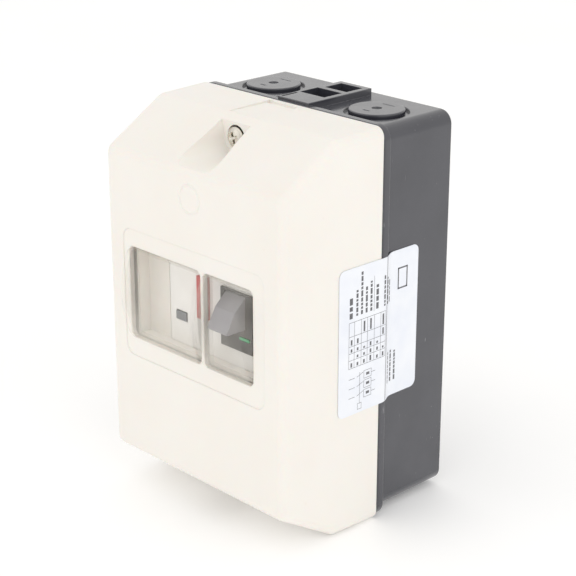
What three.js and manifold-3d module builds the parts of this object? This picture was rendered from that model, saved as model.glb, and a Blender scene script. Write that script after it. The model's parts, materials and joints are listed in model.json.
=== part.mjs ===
// Motor protection breaker in a surface-mounting enclosure.
// Millimetres. X is to the right seen from the front, Y runs back to the wall, Z is up.
// The origin is the centre of the back face, so everything lies at negative Y.

import * as THREE from "three";
import { mergeVertices } from "three/addons/utils/BufferGeometryUtils.js";
import Module from "manifold-3d";

const wasm = await Module();
wasm.setup();

// ---- Driving dimensions -------------------------------------------------------------------

const GAP = 0.3; // clearance kept between neighbouring pieces

// enclosure
const WIDTH = 93;
const HEIGHT = 147;
const FRONT_Y = -84; // flat front face of the cover
const BASE_HALF_X = 44;
const BASE_HALF_Z = 72;
const BASE_CORNER_R = 5;
const BASE_WALL = 2.2;
const BACK_WALL = 2.6;
const LIP_BACK_Y = -34; // the lip at the seam runs from here to the rim
const RIM_Y = -37.4;
const SEAM_Y = RIM_Y - GAP;
const LIP_CORNER_R = 5.5;
const GROOVE_OUTER_INSET = 1.2; // gasket groove in the rim, measured in from the lip
const GROOVE_INNER_INSET = 2.6;
const GROOVE_CORNER_R = 4.3;
const FIXING_X = 33; // thin round skins in the back wall, pierced for the four fixing screws
const FIXING_Z = 58;
const FIXING_R = 2.3;
const FIXING_DEPTH = 1; // sunk this deep from each face of the back wall

// cover
const SLOPE_Y = -58.5; // the end slopes start here
const SLOPE_HALF_Z = 72.9;
const FACE_HALF_Z = 57.6;
const COVER_EDGE_R = 3.5;
const COVER_WALL = 2.3;
const COVER_TAPER = 0.5; // each side comes in this much from the seam to the front face
const PANEL_RECESS = 0.35; // the front steps in this much round the windows
const PANEL_OUTLINE_X = 36.8;
const PANEL_LOW_Z = -19;
const PANEL_HIGH_Z = 29.5;
const LAMP_RING_Z = 48; // thin ring that marks the pilot-lamp knock-out

// windows and membrane
const WINDOW_LEFT_X = -34;
const WINDOW_RIGHT_X = 31;
const WINDOW_LOW_Z = -11.8;
const WINDOW_HIGH_Z = 23;
const BAR_LEFT_X = 4.4; // narrow bar between the two windows
const BAR_RIGHT_X = 6;
const WINDOWS = [[WINDOW_LEFT_X, BAR_LEFT_X], [BAR_RIGHT_X, WINDOW_RIGHT_X]];
const WINDOW_CORNER_R = 2.2;
const MEMBRANE_WALL = 0.9;
const PANE_CLEARANCE = 0.35; // between a pane and the window edge round it
const PANE_FOOT_Y = -84.4; // where a pane's crown starts
const PANE_PEAK_Y = -88.3;

// cover screws
const SCREW_Z = 65.5;
const SCOOP_BACK_Y = -62;
const SCREW_POCKET_Y = -60.4;

// cable knock-outs
const KNOCKOUT_X = 26.1;
const KNOCKOUT_Y = -19.6;
const KNOCKOUT_R = 9.8;
const KNOCKOUT_GROOVE_R = 11.6;
const KNOCKOUT_RISE = 1.2;
const KNOCKOUT_SIDES = 24;

// mounting rail and breaker
const RAIL_HALF_X = 31;
const RAIL_SCREW_X = 26.5;
const BREAKER_HALF_X = 22.5;
const BREAKER_HALF_Z = 44.5;
const BREAKER_WALL = 2.2;
const BREAKER_BACK_Y = -13;
const CASE_SPLIT_Y = -50;
const TERMINAL_FACE_Y = -62.5;
const PANEL_Y = -74.5;
const PANEL_HALF_Z = 22.5;
const CHAMBER_BACK_Y = -20;
const POLE_PITCH = 13.8;
const POLE_XS = [-POLE_PITCH, 0, POLE_PITCH];
const TERMINAL_Z = 35.5;

// buttons
const START_X = [8.3, 18.3];
const START_Z = [3.2, 15];
const STOP_X = [-6, -1.2];
const STOP_Z = [1, 17];
const TEST_X = [-19, -13.6];
const TEST_Z = [-3.1, 0.1];
const DIAL_X = 8;
const DIAL_Z = -17.6;

// latch lever between the two buttons
const LEVER_X = 2.6;
const LEVER_Y = -63.5;
const LEVER_REST_ANGLE = THREE.MathUtils.degToRad(-16.5);

// ---- Materials ----------------------------------------------------------------------------

function material(color, roughness, metalness = 0, extra = {}) {
  return new THREE.MeshStandardMaterial({ color, roughness, metalness, ...extra });
}

const creamPlastic = () => material(0xf6f1e6, 0.45);
const blackPlastic = () => material(0x1c1d22, 0.35);
const whitePlastic = () => material(0xf1efe9, 0.5);
const steel = () => material(0xb9b6ae, 0.3, 1);
const copper = () => material(0xb87349, 0.35, 1);

// ---- Solid helpers ------------------------------------------------------------------------

// A three.js geometry as a manifold solid, its faces pointing out.
function solid(geometry) {
  const bare = geometry.clone();
  bare.deleteAttribute("normal");
  bare.deleteAttribute("uv");
  const merged = mergeVertices(bare);
  const points = merged.attributes.position;
  const index = Array.from(merged.index.array);
  const triangles = [];
  for (let i = 0; i < index.length; i += 3) {
    const [a, b, c] = index.slice(i, i + 3);
    if (a !== b && b !== c && c !== a) triangles.push(a, b, c);
  }
  if (signedVolume(points, triangles) < 0) triangles.reverse();
  return new wasm.Manifold(
    new wasm.Mesh({
      numProp: 3,
      vertProperties: new Float32Array(points.array),
      triVerts: new Uint32Array(triangles),
    }),
  );
}

function signedVolume(points, triangles) {
  const [a, b, c] = [new THREE.Vector3(), new THREE.Vector3(), new THREE.Vector3()];
  let sum = 0;
  for (let i = 0; i < triangles.length; i += 3) {
    a.fromBufferAttribute(points, triangles[i]);
    b.fromBufferAttribute(points, triangles[i + 1]);
    c.fromBufferAttribute(points, triangles[i + 2]);
    sum += a.dot(b.cross(c));
  }
  return sum;
}

function join(first, ...rest) {
  return rest.reduce((whole, piece) => whole.add(piece), first);
}

function cut(first, ...tools) {
  return tools.reduce((whole, tool) => whole.subtract(tool), first);
}

function box(x0, x1, y0, y1, z0, z1) {
  const geometry = new THREE.BoxGeometry(x1 - x0, Math.abs(y1 - y0), z1 - z0);
  geometry.translate((x0 + x1) / 2, (y0 + y1) / 2, (z0 + z1) / 2);
  return solid(geometry);
}

// A cylinder along Y, centred on (x, z).
function rodY(x, z, radius, y0, y1, sides = 20) {
  const geometry = new THREE.CylinderGeometry(radius, radius, Math.abs(y1 - y0), sides);
  geometry.translate(x, (y0 + y1) / 2, z);
  return solid(geometry);
}

// A cylinder along Z, centred on (x, y).
function rodZ(x, y, radius, z0, z1, sides = 20) {
  const geometry = new THREE.CylinderGeometry(radius, radius, Math.abs(z1 - z0), sides);
  geometry.rotateX(Math.PI / 2);
  geometry.translate(x, y, (z0 + z1) / 2);
  return solid(geometry);
}

// A turned piece about an axis along Y through (x, z). The profile holds [radius, y] pairs.
function turnedY(x, z, profile, sides = 20) {
  const points = profile.map(([radius, y]) => new THREE.Vector2(radius, y));
  const geometry = new THREE.LatheGeometry(points, sides);
  geometry.translate(x, 0, z);
  return solid(geometry);
}

function outline(points) {
  return new THREE.Shape(points.map(([u, v]) => new THREE.Vector2(u, v)));
}

function roundedRectangle(u0, u1, v0, v1, radius) {
  const shape = new THREE.Shape();
  shape.moveTo(u0 + radius, v0);
  shape.lineTo(u1 - radius, v0);
  shape.absarc(u1 - radius, v0 + radius, radius, -Math.PI / 2, 0, false);
  shape.lineTo(u1, v1 - radius);
  shape.absarc(u1 - radius, v1 - radius, radius, 0, Math.PI / 2, false);
  shape.lineTo(u0 + radius, v1);
  shape.absarc(u0 + radius, v1 - radius, radius, Math.PI / 2, Math.PI, false);
  shape.lineTo(u0, v0 + radius);
  shape.absarc(u0 + radius, v0 + radius, radius, Math.PI, 1.5 * Math.PI, false);
  return shape;
}

// A shape drawn in X and Z, extruded along Y from y0 towards the front, y1.
function prismY(shape, y0, y1, curveSegments = 3) {
  const options = { depth: y0 - y1, bevelEnabled: false, curveSegments };
  const geometry = new THREE.ExtrudeGeometry(shape, options);
  geometry.rotateX(Math.PI / 2);
  geometry.translate(0, y0, 0);
  return solid(geometry);
}

// A shape drawn in Y and Z, extruded along X from x0 to x1. A bevel rounds both ends.
function prismXGeometry(shape, x0, x1, bevel = 0, bevelSegments = 3, curveSegments = 4) {
  const geometry = new THREE.ExtrudeGeometry(shape, {
    depth: x1 - x0 - 2 * bevel,
    bevelEnabled: bevel > 0,
    bevelThickness: bevel,
    bevelSize: bevel,
    bevelOffset: -bevel,
    bevelSegments,
    curveSegments,
  });
  const yAxis = new THREE.Vector3(0, 1, 0);
  const zAxis = new THREE.Vector3(0, 0, 1);
  const xAxis = new THREE.Vector3(1, 0, 0);
  geometry.applyMatrix4(new THREE.Matrix4().makeBasis(yAxis, zAxis, xAxis));
  geometry.translate(x0 + bevel, 0, 0);
  return geometry;
}

function prismX(shape, x0, x1) {
  return solid(prismXGeometry(shape, x0, x1));
}

// A ring lying in the X-Z plane, between two rounded rectangles.
function ringY(outerHalfX, outerHalfZ, innerHalfX, innerHalfZ, radius, y0, y1) {
  const inset = outerHalfX - innerHalfX;
  const outer = roundedRectangle(-outerHalfX, outerHalfX, -outerHalfZ, outerHalfZ, radius);
  const inner = roundedRectangle(-innerHalfX, innerHalfX, -innerHalfZ, innerHalfZ, radius - inset);
  return cut(prismY(outer, y0, y1), prismY(inner, y0 + 1, y1 - 1));
}

const root = new THREE.Group();

function addPiece(name, shape, look) {
  const mesh = shape.getMesh();
  const geometry = new THREE.BufferGeometry();
  geometry.setAttribute("position", new THREE.BufferAttribute(mesh.vertProperties, 3));
  geometry.setIndex(new THREE.BufferAttribute(mesh.triVerts, 1));
  geometry.computeVertexNormals();
  const piece = new THREE.Mesh(geometry, look);
  piece.name = name;
  root.add(piece);
}

// ---- Base ---------------------------------------------------------------------------------

// The raised knock-out disc on the end face whose outward direction is up (1) or down (-1).
function knockoutDisc(x, side) {
  const rim = KNOCKOUT_R + 0.2;
  const foot = BASE_HALF_Z - 1.5;
  const top = BASE_HALF_Z + KNOCKOUT_RISE;
  const profile = [[0, foot], [rim, foot], [rim, top - 0.4], [rim - 0.6, top], [0, top]];
  const points = profile.map(([radius, height]) => new THREE.Vector2(radius, height));
  const geometry = new THREE.LatheGeometry(points, KNOCKOUT_SIDES);
  geometry.rotateX(side * Math.PI / 2);
  geometry.translate(x, KNOCKOUT_Y, 0);
  return solid(geometry);
}

function knockoutGroove(x, side) {
  const floor = side * (BASE_HALF_Z - 1);
  const above = side * (BASE_HALF_Z + 3);
  const outer = rodZ(x, KNOCKOUT_Y, KNOCKOUT_GROOVE_R, floor, above, KNOCKOUT_SIDES);
  const inner = rodZ(x, KNOCKOUT_Y, KNOCKOUT_R, floor - side, above + side, KNOCKOUT_SIDES);
  return cut(outer, inner);
}

function knockoutDimple(x, side) {
  const top = BASE_HALF_Z + KNOCKOUT_RISE;
  return rodZ(x, KNOCKOUT_Y, 1.8, side * (top - 0.8), side * (top + 1), 12);
}

// A closed ring in the rim between two insets from the lip's outline.
function rimRing(outerInset, innerInset, radius, y0, y1) {
  const outer = [WIDTH / 2 - outerInset, HEIGHT / 2 - outerInset];
  const inner = [WIDTH / 2 - innerInset, HEIGHT / 2 - innerInset];
  return ringY(...outer, ...inner, radius, y0, y1);
}

// The raised platform between the top knock-outs, which runs forward to the lip.
function topPlatform() {
  return box(-6.8, 8.8, -36, -3.8, BASE_HALF_Z - 1.5, BASE_HALF_Z + 2.5);
}

// Two deep pockets and a slot in the platform, and a small hole on either side of it.
function topPockets() {
  const floor = BASE_HALF_Z - 1.2;
  const above = BASE_HALF_Z + 5;
  return join(
    box(-4.2, 6.6, -14.7, -6.3, floor, above),
    box(-5.6, 6.6, -26, -17, floor, above),
    box(-6, -5, -35, -27.6, BASE_HALF_Z + 1, above),
    rodZ(-12.8, -30.4, 0.9, BASE_HALF_Z - 0.9, above, 10),
    rodZ(13.2, -30.4, 0.9, BASE_HALF_Z - 0.9, above, 10),
  );
}

function baseShell() {
  const inner = { x: BASE_HALF_X - BASE_WALL, z: BASE_HALF_Z - BASE_WALL };
  const bodyShape = roundedRectangle(-BASE_HALF_X, BASE_HALF_X, -BASE_HALF_Z, BASE_HALF_Z, BASE_CORNER_R);
  const lipShape = roundedRectangle(-WIDTH / 2, WIDTH / 2, -HEIGHT / 2, HEIGHT / 2, LIP_CORNER_R);
  const innerShape = roundedRectangle(-inner.x, inner.x, -inner.z, inner.z, BASE_CORNER_R - BASE_WALL);
  const postDepth = RIM_Y + 0.5;
  let shell = join(prismY(bodyShape, 0, RIM_Y), prismY(lipShape, LIP_BACK_Y, RIM_Y), topPlatform());
  for (const side of [1, -1]) {
    for (const x of [-KNOCKOUT_X, KNOCKOUT_X]) {
      shell = join(shell, knockoutDisc(x, side));
      shell = cut(shell, knockoutGroove(x, side), knockoutDimple(x, side));
    }
  }
  shell = cut(shell, topPockets(), prismY(innerShape, -BACK_WALL, RIM_Y - 2));
  shell = join(shell, box(-34, -20, -1, -6.7, -62, -50));
  for (const side of [1, -1]) {
    const post = rodY(0, side * SCREW_Z, 4.6, -1, postDepth, 16);
    const postHole = rodY(0, side * SCREW_Z, 2.2, -16, postDepth - 1, 16);
    const railPost = rodY(side * RAIL_SCREW_X, 0, 4.2, -1, -4.7, 16);
    const railHole = rodY(side * RAIL_SCREW_X, 0, 1.5, -1.6, -6, 12);
    shell = cut(join(shell, post, railPost), postHole, railHole);
    for (const x of [-FIXING_X, FIXING_X]) {
      const behind = rodY(x, side * FIXING_Z, FIXING_R, 1, -FIXING_DEPTH, 12);
      const inside = rodY(x, side * FIXING_Z, FIXING_R, FIXING_DEPTH - BACK_WALL, -BACK_WALL - 1, 12);
      shell = cut(shell, behind, inside);
    }
  }
  const groove = rimRing(GROOVE_OUTER_INSET, GROOVE_INNER_INSET, GROOVE_CORNER_R, RIM_Y + 1.5, RIM_Y - 1);
  addPiece("base_shell", cut(shell, groove), blackPlastic());
}

function coverGasket() {
  const play = 0.2;
  const [outer, inner] = [GROOVE_OUTER_INSET + play, GROOVE_INNER_INSET - play];
  const ring = rimRing(outer, inner, GROOVE_CORNER_R - play, RIM_Y + 1.3, RIM_Y - 0.1);
  addPiece("cover_gasket", ring, material(0x30302e, 0.9));
}

// ---- Cover --------------------------------------------------------------------------------

// The cover's side outline in Y and Z, drawn past the seam, with the front corners rounded.
function coverOutline(offset) {
  const back = SEAM_Y + 6;
  const run = SLOPE_Y - FRONT_Y;
  const rise = SLOPE_HALF_Z - FACE_HALF_Z;
  const length = Math.hypot(run, rise);
  const slopeShift = (offset * length) / run; // vertical shift of the slope line
  const frontY = FRONT_Y + offset;
  const faceZ = FACE_HALF_Z - slopeShift + (offset * rise) / run;
  const topZ = SLOPE_HALF_Z - offset;
  const slopeY = SLOPE_Y + ((topZ - (SLOPE_HALF_Z - slopeShift)) * run) / rise;
  const seamZ = HEIGHT / 2 - offset;
  const half = [[back, seamZ], [SEAM_Y, seamZ], [slopeY, topZ]];
  const corner = new THREE.Vector2(frontY, faceZ);
  const cornerSize = offset > 0 ? 0.5 : 2.6;
  const before = corner.clone().add(new THREE.Vector2(run, rise).setLength(cornerSize));
  const after = new THREE.Vector2(frontY, faceZ - cornerSize);
  const curve = new THREE.QuadraticBezierCurve(before, corner, after);
  const rounded = curve.getPoints(3).map((point) => [point.x, point.y]);
  const upper = [...half, ...rounded];
  const lower = upper.map(([y, z]) => [y, -z]).reverse();
  return outline([...upper, ...lower]);
}

// Both sides of the cover lean in a little towards the front face.
function tapered(geometry) {
  const points = geometry.attributes.position;
  for (let i = 0; i < points.count; i += 1) {
    const depth = (SEAM_Y - points.getY(i)) / (SEAM_Y - FRONT_Y);
    points.setX(i, points.getX(i) * (1 - (COVER_TAPER * depth) / (WIDTH / 2)));
  }
  return geometry;
}

// One section of the screw scoop: a U that goes from round (bend 1) to square (bend 0.3).
function scoopSection(halfX, centreZ, drop, openHalfX, bend, y) {
  const topZ = 76;
  const steps = 8;
  const points = [[-openHalfX, y, topZ]];
  for (let i = 0; i <= steps; i += 1) {
    const angle = Math.PI + (Math.PI * i) / steps;
    const x = Math.sign(Math.cos(angle)) * Math.abs(Math.cos(angle)) ** bend * halfX;
    const z = centreZ - Math.abs(Math.sin(angle)) ** bend * drop;
    points.push([i * 2 === steps ? 0 : x, y, z]);
  }
  points.push([openHalfX, y, topZ]);
  return points;
}

// The tapered scoop that gives a screwdriver a way to the cover screw.
function screwScoop(side) {
  const back = scoopSection(6.3, SCREW_Z, 6.3, 8.6, 1, SCOOP_BACK_Y);
  const front = scoopSection(10.6, 66, 7.7, 11.1, 0.3, FRONT_Y - 1);
  const count = back.length;
  const positions = [...back, ...front].flat();
  const index = [];
  for (let i = 0; i < count; i += 1) {
    const next = (i + 1) % count;
    index.push(i, next, count + next, i, count + next, count + i);
  }
  for (let i = 1; i < count - 1; i += 1) {
    index.push(0, i + 1, i);
    index.push(count, count + i, count + i + 1);
  }
  const geometry = new THREE.BufferGeometry();
  geometry.setAttribute("position", new THREE.Float32BufferAttribute(positions, 3));
  geometry.setIndex(index);
  if (side < 0) geometry.rotateY(Math.PI);
  return solid(geometry);
}

function frameScrewPlaces() {
  return [[-38.8, -8], [38.8, -8], [-38.8, 20], [38.8, 20]];
}

function coverShell() {
  const outerShape = coverOutline(0);
  const outer = solid(tapered(prismXGeometry(outerShape, -WIDTH / 2, WIDTH / 2, COVER_EDGE_R, 4)));
  const innerHalfX = WIDTH / 2 - COVER_WALL - COVER_TAPER;
  const inner = prismX(coverOutline(COVER_WALL), -innerHalfX, innerHalfX);
  const pastSeam = box(-WIDTH, WIDTH, SEAM_Y, SEAM_Y + 20, -HEIGHT, HEIGHT);
  let shell = cut(outer, inner, pastSeam);
  for (const side of [1, -1]) {
    const low = Math.min(side * 57, side * 75);
    const block = box(-13, 13, FRONT_Y, -58.9, low, low + 18).intersect(outer);
    const boss = rodY(0, side * SCREW_Z, 4.2, -59.5, SEAM_Y - 0.2);
    shell = join(shell, block, boss);
    const channelLow = Math.min(side * 72.75, side * 76);
    const channel = box(-7.5, 7.5, SLOPE_Y + 0.5, -40, channelLow, channelLow + 3.25);
    const notchLow = Math.min(side * 72.3, side * 76);
    const notch = box(-7.5, -5.2, -40.6, -39.2, notchLow, notchLow + 3.7);
    const pocket = rodY(0, side * SCREW_Z, 4.4, SCOOP_BACK_Y - 1, SCREW_POCKET_Y, 24);
    const hole = rodY(0, side * SCREW_Z, 2.3, SCREW_POCKET_Y - 0.5, SEAM_Y + 1, 16);
    shell = cut(shell, screwScoop(side), channel, notch, pocket, hole);
  }
  for (const [x, z] of frameScrewPlaces()) {
    const boss = rodY(x, z, 2.4, FRONT_Y + COVER_WALL - 0.3, -79.7, 14);
    shell = cut(join(shell, boss), rodY(x, z, 1.2, -82.8, -79, 10));
  }
  const panel = roundedRectangle(-PANEL_OUTLINE_X, PANEL_OUTLINE_X, PANEL_LOW_Z, PANEL_HIGH_Z, 4);
  const ringOuter = rodY(0, LAMP_RING_Z, 5.4, FRONT_Y - 1, FRONT_Y + 0.3, 24);
  const ringInner = rodY(0, LAMP_RING_Z, 4.8, FRONT_Y - 2, FRONT_Y + 1, 24);
  shell = cut(shell, prismY(panel, FRONT_Y + PANEL_RECESS, FRONT_Y - 1), cut(ringOuter, ringInner));
  for (const [x0, x1] of WINDOWS) {
    const opening = roundedRectangle(x0, x1, WINDOW_LOW_Z, WINDOW_HIGH_Z, WINDOW_CORNER_R);
    shell = cut(shell, prismY(opening, FRONT_Y + COVER_WALL + 1, FRONT_Y - 1));
  }
  addPiece("cover_shell", shell, creamPlastic());
}

function coverScrew(name, side) {
  const headFoot = SCREW_POCKET_Y - 1.4;
  const profile = [
    [0, headFoot - 1.8],
    [2.2, headFoot - 1.7],
    [3.3, headFoot - 1.3],
    [3.8, headFoot - 0.8],
    [3.8, headFoot],
    [1.9, headFoot],
    [1.9, -21.5],
    [1.2, -20],
    [0, -20],
  ];
  const bladeTop = headFoot - 3;
  const bladeFloor = headFoot - 0.6;
  const tilt = THREE.MathUtils.degToRad(20);
  let screw = turnedY(0, 0, profile, 24);
  for (const turn of [tilt, tilt + Math.PI / 2]) {
    const blade = new THREE.BoxGeometry(4.4, bladeFloor - bladeTop, 0.9);
    blade.rotateY(turn);
    blade.translate(0, (bladeTop + bladeFloor) / 2, 0);
    screw = cut(screw, solid(blade));
  }
  addPiece(name, screw.translate([0, 0, side * SCREW_Z]), steel());
}

function screwWasher(name, side) {
  const low = SCREW_POCKET_Y - 1.1;
  const high = SCREW_POCKET_Y - GAP;
  const profile = [[2.2, low], [4, low], [4, high], [2.2, high], [2.2, low]];
  addPiece(name, turnedY(0, side * SCREW_Z, profile, 24), material(0x2b2b2b, 0.9));
}

// ---- Windows ------------------------------------------------------------------------------

// Side outline of one pane: straight feet, then a crown that stands out of the cover.
function paneOutline(inset, backY) {
  const low = WINDOW_LOW_Z + PANE_CLEARANCE + inset;
  const high = WINDOW_HIGH_Z - PANE_CLEARANCE - inset;
  const footY = PANE_FOOT_Y + inset;
  const rise = footY - (PANE_PEAK_Y + inset);
  const steps = 14;
  const points = [[backY, low]];
  for (let i = 0; i <= steps; i += 1) {
    const t = (2 * i) / steps - 1;
    points.push([footY - rise * (1 - t * t), (low + high) / 2 + (t * (high - low)) / 2]);
  }
  points.push([backY, high]);
  return outline(points);
}

// One pane as a solid: its side outline run across the window, with the window's round corners.
function paneSolid(x0, x1, inset, backY) {
  const low = WINDOW_LOW_Z + inset;
  const high = WINDOW_HIGH_Z - inset;
  const face = roundedRectangle(x0 + inset, x1 - inset, low, high, WINDOW_CORNER_R - inset);
  const crown = prismX(paneOutline(inset - PANE_CLEARANCE, backY), x0 + inset, x1 - inset);
  return crown.intersect(prismY(face, backY + 1, PANE_PEAK_Y - 1));
}

function clearMembrane() {
  const flangeFront = FRONT_Y + COVER_WALL + GAP;
  const flangeBack = flangeFront + 1.1;
  let membrane = box(-35.6, 35.6, flangeFront, flangeBack, WINDOW_LOW_Z - 2.4, WINDOW_HIGH_Z + 2.4);
  for (const [x0, x1] of WINDOWS) {
    membrane = join(membrane, paneSolid(x0, x1, PANE_CLEARANCE, flangeBack - 0.5));
  }
  for (const [x0, x1] of WINDOWS) {
    membrane = cut(membrane, paneSolid(x0, x1, PANE_CLEARANCE + MEMBRANE_WALL, flangeBack + 1));
  }
  const look = material(0xf3ead2, 0.15, 0, { transparent: true, opacity: 0.4 });
  addPiece("clear_membrane", membrane, look);
}

// A frame behind the membrane. Its two side webs lie level with the breaker's front panel, so the
// windows show no gap beside it; over the panel itself only the frame's rim remains, in front.
function membraneFrame() {
  const front = -80;
  const plateBack = -78.4;
  const webFront = PANEL_Y;
  const back = webFront + 1.2;
  const low = WINDOW_LOW_Z - GAP;
  const high = WINDOW_HIGH_Z + GAP;
  const left = WINDOW_LEFT_X - GAP;
  const right = WINDOW_RIGHT_X + GAP;
  const panelHalfX = BREAKER_HALF_X + GAP;
  const wall = 1.5;
  let frame = join(
    box(-36, 36, front, plateBack, low - 2.7, high + 2.7),
    box(left - wall, right + wall, front, back, low - wall, high + wall),
  );
  for (const [x, z] of frameScrewPlaces()) {
    const [earLeft, earRight] = x < 0 ? [x - 2.4, -35] : [35, x + 2.4];
    const ear = box(earLeft, earRight, -79.4, plateBack, z - 2.4, z + 2.4);
    frame = cut(join(frame, ear), rodY(x, z, 1.2, -80, -78, 10));
  }
  frame = cut(frame, box(left, right, front - 1, webFront, low, high));
  frame = cut(frame, box(-panelHalfX, panelHalfX, PANEL_Y - GAP, back + 1, low - 5, high + 5));
  addPiece("membrane_frame", frame, creamPlastic());
}

function frameScrews() {
  frameScrewPlaces().forEach(([x, z], i) => {
    const head = [[2, -78.1], [2, -77.2], [1.4, -76.8], [0, -76.8]];
    const profile = [[0, -82.4], [0.9, -82.4], [0.9, -78.1], ...head];
    addPiece(`frame_screw_${i + 1}`, turnedY(x, z, profile, 12), steel());
  });
}

// ---- Side label ---------------------------------------------------------------------------

// A thin label stuck across the seam: on the cover's side, over the lip, down onto the base.
function sideLabel() {
  const lift = 0.12;
  const thick = 0.25;
  const coverX = WIDTH / 2 - COVER_TAPER * 0.443 + lift;
  const lipX = WIDTH / 2 + lift;
  const baseX = BASE_HALF_X + lift;
  const frontEdge = -58.2;
  const backEdge = -16.2;
  const halfZ = 27.2;
  const path = [
    [coverX, frontEdge],
    [lipX, SEAM_Y],
    [lipX, LIP_BACK_Y + 0.2],
    [baseX, LIP_BACK_Y + 2.5],
    [baseX, backEdge],
  ];
  const outer = path.map(([x, y]) => [x + thick, y]).reverse();
  const shape = outline([...path, ...outer]);
  const geometry = new THREE.ExtrudeGeometry(shape, { depth: 2 * halfZ, bevelEnabled: false });
  geometry.translate(0, 0, -halfZ);
  const trim = prismX(roundedRectangle(frontEdge, backEdge, -halfZ, halfZ, 2.5), BASE_HALF_X - 4, WIDTH);
  addPiece("side_label", solid(geometry).intersect(trim), material(0xf4f6fa, 0.4));
}

// ---- Mounting rail and earth terminal -----------------------------------------------------

function mountingRail() {
  const half = [[-5, 13.5], [-11.5, 13.5], [-11.5, 17.5], [-12.5, 17.5], [-12.5, 12.5], [-6, 12.5]];
  const mirrored = half.map(([y, z]) => [y, -z]).reverse();
  let rail = prismX(outline([...half, ...mirrored]), -RAIL_HALF_X, RAIL_HALF_X);
  for (const x of [-RAIL_SCREW_X, RAIL_SCREW_X]) rail = cut(rail, rodY(x, 0, 1.9, -3, -8, 12));
  addPiece("mounting_rail", rail, steel());
}

function railScrew(name, x) {
  const profile = [[0, -2.2], [1.2, -2.8], [1.2, -6.3], [3, -6.3], [3, -7.6], [2.2, -8.4], [0, -8.4]];
  addPiece(name, turnedY(x, 0, profile, 16), steel());
}

function earthTerminal() {
  const screwXs = [-30, -24];
  let block = box(-33, -21, -15, -7, -61, -51);
  for (const x of screwXs) {
    block = cut(block, rodY(x, -56, 1.9, -16, -11, 12), rodZ(x, -10.8, 1.6, -62, -50, 12));
  }
  addPiece("earth_block", block, material(0xc9a24d, 0.35, 1));
  screwXs.forEach((x, i) => {
    const head = [[2.6, -16.3], [2.6, -18], [2, -18.4], [0, -18.4]];
    const profile = [[0, -12.9], [1.5, -12.9], [1.5, -16.3], ...head];
    addPiece(`earth_screw_${i + 1}`, turnedY(x, -56, profile, 14), steel());
  });
}

// ---- Breaker housing ----------------------------------------------------------------------

function chamberEdges(x) {
  const barrier = 0.6;
  const half = POLE_PITCH / 2;
  const wall = BREAKER_HALF_X - BREAKER_WALL;
  return [Math.max(x - half + barrier, -wall), Math.min(x + half - barrier, wall)];
}

function breakerRearCase() {
  const innerZ = BREAKER_HALF_Z - BREAKER_WALL;
  let body = join(
    box(-BREAKER_HALF_X, BREAKER_HALF_X, CASE_SPLIT_Y, BREAKER_BACK_Y, -BREAKER_HALF_Z, BREAKER_HALF_Z),
    box(-18, 18, BREAKER_BACK_Y - 0.2, -9.6, 18.1, 20.5),
    box(-18, 18, -11, -9.6, 14.5, 18.3),
    box(6, 8, BREAKER_BACK_Y - 0.2, -9.4, -44, -22),
    box(-8, -6, BREAKER_BACK_Y - 0.2, -9.4, -44, -22),
  );
  body = cut(body, box(-2.4, 2.4, -17.3, BREAKER_BACK_Y + 0.1, -40, -26.2));
  for (const x of POLE_XS) {
    const [left, right] = x === 0 ? [-6.3, 6.3] : chamberEdges(x);
    body = cut(body, box(left, right, CASE_SPLIT_Y - 1, CHAMBER_BACK_Y, -innerZ, innerZ));
    for (const side of [1, -1]) {
      const low = Math.min(side * 42, side * 46);
      body = cut(body, box(x - 4.2, x + 4.2, CASE_SPLIT_Y - 1, -44, low, low + 4));
    }
  }
  addPiece("breaker_rear_case", body, material(0x3a3c40, 0.5));
}

function breakerFrontCase() {
  const back = CASE_SPLIT_Y - GAP;
  const wall = BREAKER_WALL;
  const innerX = BREAKER_HALF_X - wall;
  let body = join(
    box(-BREAKER_HALF_X, BREAKER_HALF_X, TERMINAL_FACE_Y, back, -BREAKER_HALF_Z, BREAKER_HALF_Z),
    box(-BREAKER_HALF_X, BREAKER_HALF_X, PANEL_Y, back - 1, -PANEL_HALF_Z, PANEL_HALF_Z),
  );
  body = cut(
    body,
    box(-innerX, innerX, TERMINAL_FACE_Y + wall, back + 1, -BREAKER_HALF_Z + wall, BREAKER_HALF_Z - wall),
    box(-innerX, innerX, PANEL_Y + wall, back, -PANEL_HALF_Z + wall, PANEL_HALF_Z - wall),
    box(START_X[0] - GAP, START_X[1] + GAP, PANEL_Y - 1, PANEL_Y + 4, START_Z[0] - GAP, START_Z[1] + GAP),
    box(STOP_X[0] - 0.2, STOP_X[1] + 0.2, PANEL_Y - 1, PANEL_Y + 4, STOP_Z[0] - GAP, STOP_Z[1] + GAP),
    box(TEST_X[0] - GAP, TEST_X[1] + GAP, PANEL_Y - 1, PANEL_Y + 4, TEST_Z[0] - GAP, TEST_Z[1] + GAP),
    rodY(DIAL_X, DIAL_Z, 2, PANEL_Y - 1, PANEL_Y + 4, 16),
  );
  for (const x of POLE_XS) {
    for (const side of [1, -1]) {
      body = cut(body, rodY(x, side * TERMINAL_Z, 3.4, TERMINAL_FACE_Y - 1, TERMINAL_FACE_Y + 4, 16));
    }
  }
  addPiece("breaker_front_case", body, whitePlastic());
}

function railLatch() {
  const plate = join(box(-5.5, 5.5, -11, -9.6, -48, -14.5), box(-1.9, 1.9, -16.8, -10.8, -28.5, -27));
  addPiece("rail_latch", cut(plate, rodY(0, -46, 1.2, -12, -9, 12)), material(0x5a5c60, 0.5));
}

class Helix extends THREE.Curve {
  constructor(radius, turns, low, high, x, y) {
    super();
    Object.assign(this, { radius, turns, low, high, x, y });
  }

  getPoint(t, target = new THREE.Vector3()) {
    const angle = 2 * Math.PI * this.turns * t;
    const z = this.low + (this.high - this.low) * t;
    return target.set(this.x + this.radius * Math.cos(angle), this.y + this.radius * Math.sin(angle), z);
  }
}

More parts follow.
